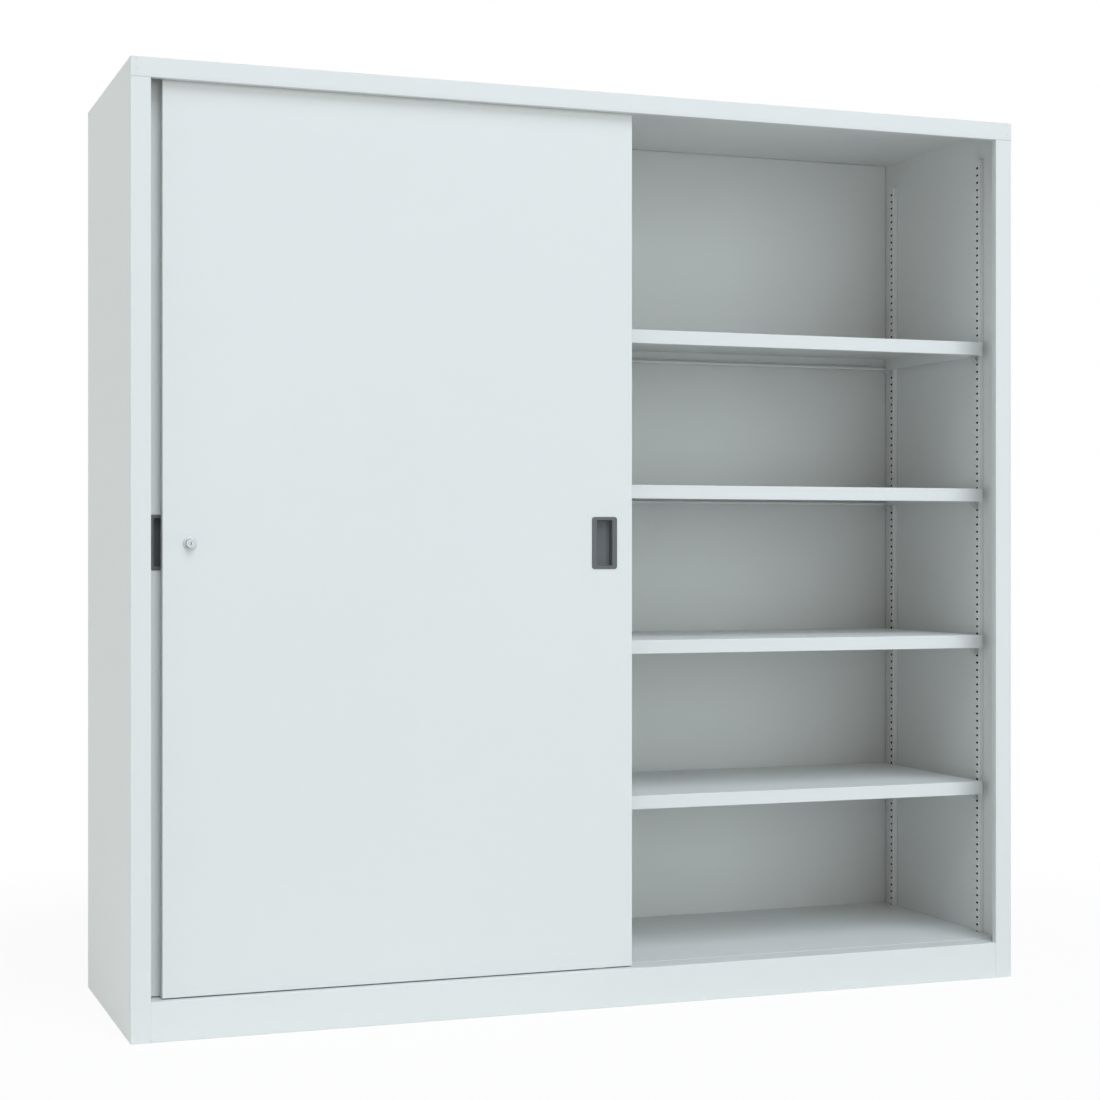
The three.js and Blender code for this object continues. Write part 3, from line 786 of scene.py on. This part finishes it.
# Grip: a rounded rim on the door's face, and a tub with drafted walls and a soft floor edge
recessedGrip = {
    "halfWidth": 0.02875,
    "halfHeight": 0.05575,
    "corner": 0.0058,
    "proud": 0.0015,
    "edge": 0.0009,
    "sideRim": 0.011,
    "endRim": 0.007,
    "lip": 0.0006,
    "pocketCorner": 0.0028,
    "pocketDepth": 0.015,
    "draft": 0.0008,
    "floorEdge": 0.002,
    "wall": 0.0015,
    "tubCorner": 0.0042,
    "tubBack": [(0.0015, 0.0016, 0), (0.0004, 0.0004, 0.0004), (0, 0, 0.0015)],  # back edge
    "roundSteps": 4,
    "cornerSteps": 6,
    "sharp": 50,
}


def roundedLoop(halfWidth, halfHeight, radius, depth, steps):
    points = []
    for quarter, (sideX, sideZ) in enumerate([(1, 1), (-1, 1), (-1, -1), (1, -1)]):
        for step in range(steps + 1):
            angle = radians(90 * quarter + 90 * step / steps)
            points.append((sideX * (halfWidth - radius) + radius * cos(angle), depth,
                           sideZ * (halfHeight - radius) + radius * sin(angle)))
    return points


def loftMesh(loops, centre):
    bm = bmesh.new()
    rings = [[bm.verts.new(centre + Vector(point)) for point in loop] for loop in loops]
    for near, far in zip(rings, rings[1:]):
        count = len(near)
        for step in range(count):
            after = (step + 1) % count
            bm.faces.new([near[step], near[after], far[after], far[step]])
    bm.faces.new(rings[0])
    bm.faces.new(rings[-1])
    return bm


# Rings from the tub's back, round its outside and the rim, to the pocket's floor
def gripLoops():
    look = recessedGrip
    width, height, corner = look["halfWidth"], look["halfHeight"], look["corner"]
    inWidth, inHeight = width - look["sideRim"], height - look["endRim"]
    tubWidth, tubHeight = inWidth + look["wall"], inHeight + look["wall"]
    tubCorner, pocketCorner = look["tubCorner"], look["pocketCorner"]
    back = look["pocketDepth"] + look["wall"]
    loops = []

    def ring(x, z, radius, depth):
        loops.append(roundedLoop(x, z, radius, depth, look["cornerSteps"]))

    for inset, tighter, forward in look["tubBack"]:
        ring(tubWidth - inset, tubHeight - inset, tubCorner - tighter, back - forward)
    ring(tubWidth, tubHeight, tubCorner, -jointGap)
    ring(width, height, corner, -jointGap)

    steps = look["roundSteps"]
    angles = [radians(90 * step / steps) for step in range(steps + 1)]
    edge, lip, front = look["edge"], look["lip"], -look["proud"]
    for angle in angles:
        inset = edge * (1 - cos(angle))
        ring(width - inset, height - inset, corner - inset, front + edge * (1 - sin(angle)))
    for angle in angles:
        inset = lip * (1 - sin(angle))
        ring(inWidth + inset, inHeight + inset, pocketCorner + inset,
             front + lip * (1 - cos(angle)))
    draft, soft, floor = look["draft"], look["floorEdge"], look["pocketDepth"]
    for angle in angles:
        inset = draft + soft * (1 - cos(angle))
        ring(inWidth - inset, inHeight - inset, pocketCorner, floor - soft * (1 - sin(angle)))
    return loops


for door in ("front", "rear"):
    low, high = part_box(f"{door}_door_grip")
    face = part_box(f"{door}_door_panel")[0].y
    centre = Vector(((low.x + high.x) / 2, face, (low.z + high.z) / 2))
    addPiece(f"{door}DoorGrip", loftMesh(gripLoops(), centre), f"{door}_door", "grip_plastic",
             [f"{door}_door_grip"], sharp=recessedGrip["sharp"])
print("grips made")


# Lock: a stepped rosette, the round barrel that is pushed in, and the key core with its slot
lockShape = {
    "steps": 64,
    "easeSteps": 3,
    "roundSteps": 5,
    "sharp": 35,
    "ease": 0.0004,
    "rosette": 0.014,
    "rosetteProud": 0.003,
    "rosetteMouth": 0.0006,
    "stepInset": 0.0026,
    "stepRadius": 0.0006,
    "rimRadius": 0.0011,
    "rimDrop": 0.0019,
    "case": 0.011,
    "caseLength": 0.019,
    "bore": 0.0093,
    "barrel": 0.009,
    "barrelProud": 0.010,
    "barrelReach": 0.017,
    "barrelRadius": 0.0009,
    "barrelChamfer": 0.0005,
    "core": 0.005,
    "coreBore": 0.0053,
    "coreLength": 0.0117,
    "coreRoom": 0.0003,
    "coreEase": 0.0003,
    "slotWidth": 0.0015,
    "slotHeight": 0.0058,
    "slotDepth": 0.008,
}
# Painted shade: a near-black lining inside the key slot, so that the slot reads dark
keywayShadeLining = {
    "cornerSteps": 2,
    "thickness": 0.00015,
    "gap": 0.00005,
    "corner": 0.0003,
    "mouth": 0.0004,
    "foot": 0.0001,
}
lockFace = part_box("front_door_panel")[0].y
lockAxis = Vector((lockCentre.x, lockFace, lockCentre.z))
lockTip = -jointGap - lockShape["rosetteProud"] - lockShape["barrelProud"]


def addRosette():
    look = lockShape
    ease, bore, outside = look["ease"], look["bore"], look["rosette"]
    front = -jointGap - look["rosetteProud"]
    mouth = (bore, front + look["rosetteMouth"])
    profile = [mouth]
    profile += arc(bore + ease, front + ease, ease, 180, 270, look["easeSteps"])
    profile += arc(outside - look["stepInset"], front + look["stepRadius"], look["stepRadius"],
                   270, 330, look["easeSteps"])
    profile += arc(outside - look["rimRadius"], front + look["rimDrop"], look["rimRadius"],
                   270, 360, look["roundSteps"])
    profile += [(outside, -jointGap), (look["case"], -jointGap),
                (look["case"], look["caseLength"]), (bore, look["caseLength"]), mouth]
    addPiece("lockRosette", turnedMesh(profile, look["steps"], lockAxis), "front_door", "nickel",
             ["lock_case"], sharp=look["sharp"])


def addBarrel():
    look = lockShape
    ease, bore, outside = look["ease"], look["coreBore"], look["barrel"]
    radius, chamfer, reach = look["barrelRadius"], look["barrelChamfer"], look["barrelReach"]
    bottom = lockTip + look["coreLength"] + look["coreRoom"]
    profile = [(0, bottom), (bore, bottom), (bore, lockTip + ease)]
    profile += arc(bore + ease, lockTip + ease, ease, 180, 270, look["easeSteps"])
    profile += arc(outside - radius, lockTip + radius, radius, 270, 360, look["roundSteps"])
    profile += [(outside, reach - chamfer), (outside - chamfer, reach), (0, reach)]
    addPiece("lockBarrel", turnedMesh(profile, look["steps"], lockAxis), "lock_plunger", "nickel",
             ["lock_barrel"], sharp=look["sharp"])


def addKeyCore():
    look = lockShape
    ease, bottom = look["coreEase"], lockTip + look["coreLength"]
    radius = look["core"]
    profile = [(0, lockTip)]
    profile += arc(radius - ease, lockTip + ease, ease, 270, 360, look["easeSteps"])
    profile += [(radius, bottom), (0, bottom)]
    core = addPiece("keyCore", turnedMesh(profile, look["steps"], lockAxis), "lock_cylinder",
                    "nickel", ["key_core"])
    cutter = bmesh.new()
    bmesh.ops.create_cube(cutter, size=1)
    size = (look["slotWidth"], 2 * look["slotDepth"], look["slotHeight"], 1)
    place = Matrix.Translation(lockAxis + Vector((0, lockTip, 0))) @ Matrix.Diagonal(size)
    bmesh.ops.transform(cutter, matrix=place, verts=cutter.verts)
    carve(core, cutter)
    core.data.set_sharp_from_angle(angle=radians(look["sharp"]))


# Lines the key slot with the near-black painted shade
def addKeywayShadeLining():
    look = keywayShadeLining
    thin, corner = look["thickness"], look["corner"]
    wide = lockShape["slotWidth"] / 2 - look["gap"]
    high = lockShape["slotHeight"] / 2 - look["gap"]
    mouth = lockTip + look["mouth"]
    bottom = lockTip + lockShape["slotDepth"] - look["foot"]
    loops = []
    for inset, depth in ((0, bottom), (0, mouth), (thin, mouth), (thin, bottom - thin)):
        loops.append(roundedLoop(wide - inset, high - inset, corner - inset, depth,
                                 look["cornerSteps"]))
    addPiece("keywayShadeLining", loftMesh(loops, lockAxis), "lock_cylinder", "painted_shade", smooth=False)


# Cuts one mesh out of a piece and keeps the result as the piece's own mesh
def carve(piece, cutter):
    mesh = bpy.data.meshes.new("cutter")
    bmesh.ops.recalc_face_normals(cutter, faces=cutter.faces)
    cutter.to_mesh(mesh)
    cutter.free()
    tool = bpy.data.objects.new("cutter", mesh)
    bpy.context.scene.collection.objects.link(tool)
    modifier = piece.modifiers.new("cut", "BOOLEAN")
    modifier.operation = "DIFFERENCE"
    modifier.solver = "EXACT"
    modifier.object = tool
    graph = bpy.context.evaluated_depsgraph_get()
    graph.update()
    made = bpy.data.meshes.new_from_object(piece.evaluated_get(graph), depsgraph=graph)
    piece.modifiers.clear()
    piece.data = made
    bpy.data.objects.remove(tool)


addRosette()
addBarrel()
addKeyCore()
addKeywayShadeLining()
print("lock made")


# Rivets: shallow pans in the ends of the top flange, with a low pop rivet in each
rivet = {
    "radius": 0.0026,
    "pan": 0.0034,
    "depth": 0.0006,
    "cutRoom": 0.001,
    "root": 0.0004,
    "rootShare": 0.9,  # shares of the radius and the depth, here and in the dome
    "dome": [(0.96, 0.7), (0.8, 0.3), (0.5, 0.1), (0.36, 0.1), (0.3, 0.5), (0, 0.5)],
    "steps": 32,
    "sharp": 45,
    "places": [(-0.9886, 1.9444), (-0.9886, 1.9234), (0.9886, 1.9444), (0.9886, 1.9234)],
}


def addRivets():
    look = rivet
    radius, depth, room = look["radius"], look["depth"], look["cutRoom"]
    centres = [Vector((x, cadLow.y, z)) for x, z in look["places"]]
    panProfile = [(0, depth), (radius, depth), (look["pan"], 0), (look["pan"], -room), (0, -room)]
    cutters = bmesh.new()
    for centre in centres:
        pan = turnedMesh(panProfile, look["steps"], centre)
        mesh = bpy.data.meshes.new("pan")
        pan.to_mesh(mesh)
        pan.free()
        cutters.from_mesh(mesh)
        bpy.data.meshes.remove(mesh)
    carve(bpy.data.objects["topPanel"], cutters)
    profile = [(0, depth + look["root"]), (radius * look["rootShare"], depth + look["root"])]
    profile += [(radius * across, depth * inward) for across, inward in look["dome"]]
    for index, centre in enumerate(centres):
        addPiece(f"flangeRivet{index + 1}", turnedMesh(profile, look["steps"], centre), "carcass",
                 "painted_steel", sharp=look["sharp"])


addRivets()
print("rivets made")


# Rollers: grooved nylon wheels with eased rims
roller = {
    "steps": 48,
    "sharp": 35,
    "radius": 0.0093,
    "bore": 0.0033,
    "halfWidth": 0.004,
    "hub": 0.0022,
    "web": 0.0006,
    "webSlope": 0.0002,
    "rim": 0.001,
    "ease": 0.0004,
    "easeSteps": 3,
    "groove": 0.0075,
    "grooveMouth": 0.0029,
    "grooveFloor": 0.0022,
}


def rollerProfile():
    look = roller
    bore, outside, ease, slope = look["bore"], look["radius"], look["ease"], look["webSlope"]
    hub, rim = bore + look["hub"], outside - look["rim"]
    side = -look["halfWidth"]
    profile = [(bore, side), (hub, side), (hub + slope, side + look["web"]),
               (rim - slope, side + look["web"]), (rim, side)]
    profile += arc(outside - ease, side + ease, ease, 270, 360, look["easeSteps"])
    profile += [(outside, -look["grooveMouth"]), (look["groove"], -look["grooveFloor"])]
    return profile + [(radius, -depth) for radius, depth in profile[::-1]] + [(bore, side)]


for door in ("front", "rear"):
    for side in ("left", "right"):
        node = f"{door}_door_{side}_roller"
        low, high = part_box(node)
        wheel = turnedMesh(rollerProfile(), roller["steps"], (low + high) / 2)
        addPiece(f"{door}{side.capitalize()}Roller", wheel, bodyOf[node], "nylon", [node],
                 sharp=roller["sharp"])
print("rollers made")


# Hangers, stops and guides keep their own shape, with eased edges
easedEdges = {
    "hanger": 0.0003,
    "stop": 0.0005,
    "guide": 0.0006,
    "segments": 2,
    "leastAngle": 40,  # degrees
}


def addEased(node, name, width):
    look = easedEdges
    bm = cadMesh(node)
    weight = bm.edges.layers.float.new("bevel_weight_edge")
    for edge in bm.edges:
        angle = abs(edge.calc_face_angle_signed(0))
        edge[weight] = 1 if angle > radians(look["leastAngle"]) else 0
    piece = addPiece(name, bm, bodyOf[node], slotOf[node], [node])
    softenEdges(piece, width, look["segments"])


for door in ("front", "rear"):
    for side in ("left", "right"):
        name = f"{door}{side.capitalize()}"
        addEased(f"{door}_door_{side}_hanger", f"{name}Hanger", easedEdges["hanger"])
        addEased(f"{door}_track_{side}_stop", f"{name}Stop", easedEdges["stop"])
    addEased(f"{door}_bottom_guide", f"{door}BottomGuide", easedEdges["guide"])
print("hangers, stops and guides made")


# Stage: a wide pale floor, an even world and soft lamps
studio = {
    "floorSize": 60,
    "floorDrop": 0.0004,
    "floorTone": (0.88, 0.87, 0.83, 1),
    "floorWhite": 0.92,
    "fadeStart": 1.3,
    "fadeEnd": 2.6,
    "worldColour": (1, 0.983, 0.956, 1),
    "worldStrength": 0.3585,
}


# One where a ray looks at the stage straight, in a reflection or through something clear
def lookedAt(shader):
    seen = shader.node("ShaderNodeLightPath", output="Is Camera Ray")
    outputs = seen.socket.node.outputs
    for kind in ("Is Glossy Ray", "Is Transmission Ray"):
        seen = seen.larger(Wire(shader, outputs[kind]))
    return seen


def addFloor():
    mesh = bpy.data.meshes.new("studioFloor")
    half = studio["floorSize"] / 2
    corners = [(-half, -half, 0), (half, -half, 0), (half, half, 0), (-half, half, 0)]
    mesh.from_pydata(corners, [], [(0, 1, 2, 3)])
    floor = bpy.data.objects.new("studioFloor", mesh)
    floor.location.z = -studio["floorDrop"]
    bpy.context.scene.collection.objects.link(floor)
    floor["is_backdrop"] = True
    material, shader = newMaterial("studioFloor")
    away = shader.node("ShaderNodeVectorMath", {"operation": "LENGTH"}, {0: shader.place()},
                       "Value")
    fade = shader.node("ShaderNodeMapRange", {"interpolation_type": "SMOOTHSTEP"},
                       {"Value": away, "From Min": studio["fadeStart"],
                        "From Max": studio["fadeEnd"], "To Min": studio["floorWhite"], "To Max": 1})
    matt = shader.node("ShaderNodeBsdfDiffuse", None, {"Color": studio["floorTone"]})
    white = shader.node("ShaderNodeEmission", None, {"Color": (1, 1, 1, 1), "Strength": 1})
    both = shader.node("ShaderNodeMixShader", None,
                       {0: lookedAt(shader) * fade, 1: matt, 2: white})
    shader.node("ShaderNodeOutputMaterial", None, {"Surface": both})
    mesh.materials.append(material)


def lightWorld():
    world = bpy.data.worlds.new("studioWorld")
    bpy.context.scene.world = world
    world.use_nodes = True
    shader = Shader(world.node_tree)
    ambient = shader.node("ShaderNodeBackground", None,
                          {"Color": studio["worldColour"], "Strength": studio["worldStrength"]})
    white = shader.node("ShaderNodeBackground", None, {"Color": (1, 1, 1, 1), "Strength": 1})
    both = shader.node("ShaderNodeMixShader", None, {0: lookedAt(shader), 1: ambient, 2: white})
    shader.node("ShaderNodeOutputWorld", None, {"Surface": both})


# Wide lamps far from the cupboard, so that its top and foot are lit alike
lampRig = {
    "aim": (0.1, -0.2, 0.95),
    "distance": 32,
    "size": 20,
}
lamps = {
    "frontLamp": {"side": (0, -1, 0.03), "power": 618, "colour": (1, 0.93, 1)},
    "rightLamp": {"side": (0.35, -1, 0.05), "power": 2316, "colour": (0.833, 0.963, 1)},
    "highLamp": {"side": (0.1, -0.75, 1), "power": 6033, "colour": (0.792, 0.878, 1)},
    "leftLamp": {"side": (-1, 0, 0.08), "power": 3192, "colour": (0.83, 0.971, 1)},
}


def addLamp(name, look):
    data = bpy.data.lights.new(name, "AREA")
    data.shape = "SQUARE"
    data.size = lampRig["size"]
    data.energy = look["power"]
    data.color = look["colour"]
    lamp = bpy.data.objects.new(name, data)
    side = Vector(look["side"]).normalized()
    lamp.location = Vector(lampRig["aim"]) + side * lampRig["distance"]
    lamp.rotation_euler = (-side).to_track_quat("-Z", "Y").to_euler()
    lamp.visible_camera = False
    bpy.context.scene.collection.objects.link(lamp)


addFloor()
lightWorld()
for name, look in lamps.items():
    addLamp(name, look)
print("stage and lamps made")

low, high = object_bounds()
print("visual box", [round(value, 4) for value in (*low, *high)])
